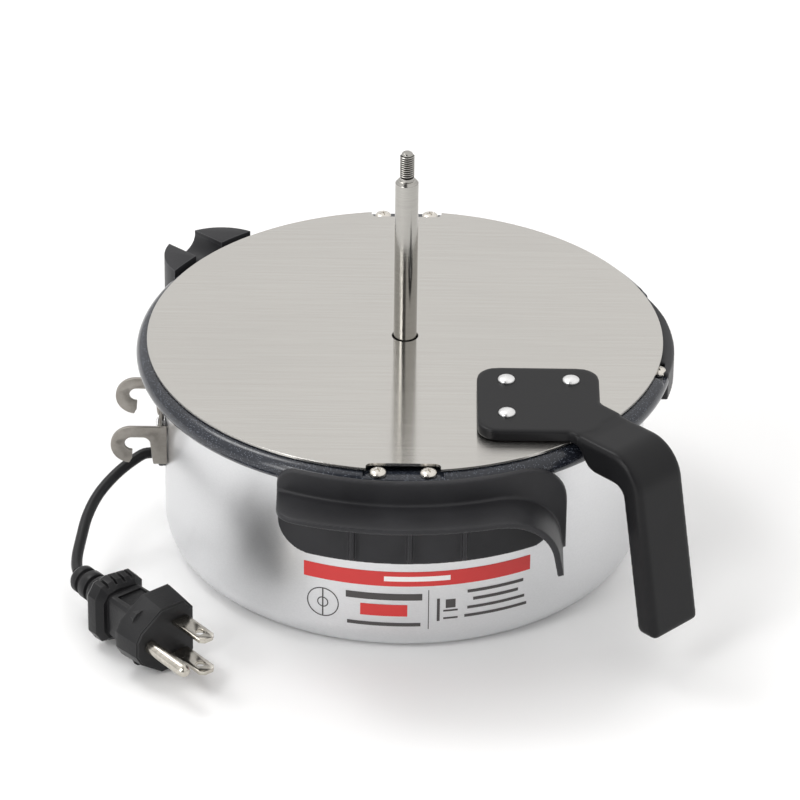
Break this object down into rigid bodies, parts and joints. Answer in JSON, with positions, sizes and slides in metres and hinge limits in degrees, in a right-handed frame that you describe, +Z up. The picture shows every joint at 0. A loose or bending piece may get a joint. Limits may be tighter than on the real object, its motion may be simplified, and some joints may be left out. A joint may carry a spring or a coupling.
{
  "type": "popcorn kettle",
  "caption": "Electric popcorn-machine kettle: rimmed non-stick pan in a metal casing, sliding flat lid with a drop handle, top-driven stirrer, hooks and a short plug lead.",
  "frame": {"origin": "on the shaft axis, on the flat underside of the casing that the kettle rests on", "axes": "+Z up along the stirrer shaft, -Y towards the side with the front holder, +X to the right of it"},
  "size_m": [0.2143, 0.2133, 0.1485],
  "materials": {
    "speckled_nonstick": "charcoal non-stick enamel with a fine speckle, semi-gloss",
    "satin_casing": "satin drawn aluminium",
    "brushed_stainless": "brushed in one direction",
    "black_phenolic": "matte charcoal-black moulding",
    "hook_steel": "matte pressed stainless steel",
    "bright_screw": "bright nickel plate",
    "rivet_aluminium": "satin",
    "ground_shaft": "centreless-ground stainless steel",
    "black_cord": "black moulded PVC, fine texture",
    "plated_blade": "nickel-plated brass",
    "cast_aluminium": "as cast",
    "element_sheath": "heat-darkened sheath",
    "glass_fibre": "woven glass fibre",
    "ceramic": "unglazed ceramic",
    "brass_bush": "turned",
    "wire_sleeve": "braided glass sleeve"
  },
  "bodies": {
    "kettle": {"inner_pan": "speckled_nonstick", "outer_casing": "satin_casing", "heat_spreader": "cast_aluminium", "heating_element": "element_sheath", "element_clamp": "cast_aluminium", "element_pin_live": "plated_blade", "element_pin_neutral": "plated_blade", "thermostat": "ceramic", "thermostat_tab_1": "plated_blade", "thermostat_tab_2": "plated_blade", "thermal_fuse": "wire_sleeve", "terminal_block": "ceramic", "terminal_screw_1": "bright_screw", "terminal_screw_2": "bright_screw", "terminal_screw_3": "bright_screw", "insulation_pad": "glass_fibre", "pan_bush": "brass_bush", "bush_nut": "brass_bush", "front_holder": "black_phenolic", "rear_holder": "black_phenolic", "side_lug": "black_phenolic", "rear_lug": "black_phenolic", "rim_screw_front_left": "bright_screw", "rim_screw_front_right": "bright_screw", "rim_screw_back_left": "bright_screw", "rim_screw_back_right": "bright_screw", "rim_screw_side_lug": "bright_screw", "hook_bracket": "hook_steel", "hook_rivet_1": "rivet_aluminium", "hook_rivet_2": "rivet_aluminium", "lead_bushing": "black_cord", "lead_cord": "black_cord", "plug_body": "black_cord", "plug_relief": "black_cord", "plug_blade_upper": "plated_blade", "plug_blade_lower": "plated_blade", "plug_ground_pin": "plated_blade"},
    "stirrer": {"stir_shaft": "ground_shaft", "stir_blade": "brushed_stainless", "stir_pin": "bright_screw"},
    "lid": {"lid": "brushed_stainless", "lid_handle": "black_phenolic", "lid_rivet_1": "rivet_aluminium", "lid_rivet_2": "rivet_aluminium", "lid_rivet_3": "rivet_aluminium"}
  },
  "joints": [
    {"name": "stir_spin", "type": "hinge", "parent": "kettle", "child": "stirrer", "pos_m": [0, 0, 0.05], "axis": [0, 0, 1], "continuous": true},
    {"name": "lid_lift", "type": "slide", "parent": "kettle", "child": "lid", "axis": [0, 0, 1], "range_m": [0, 0.075]}
  ]
}
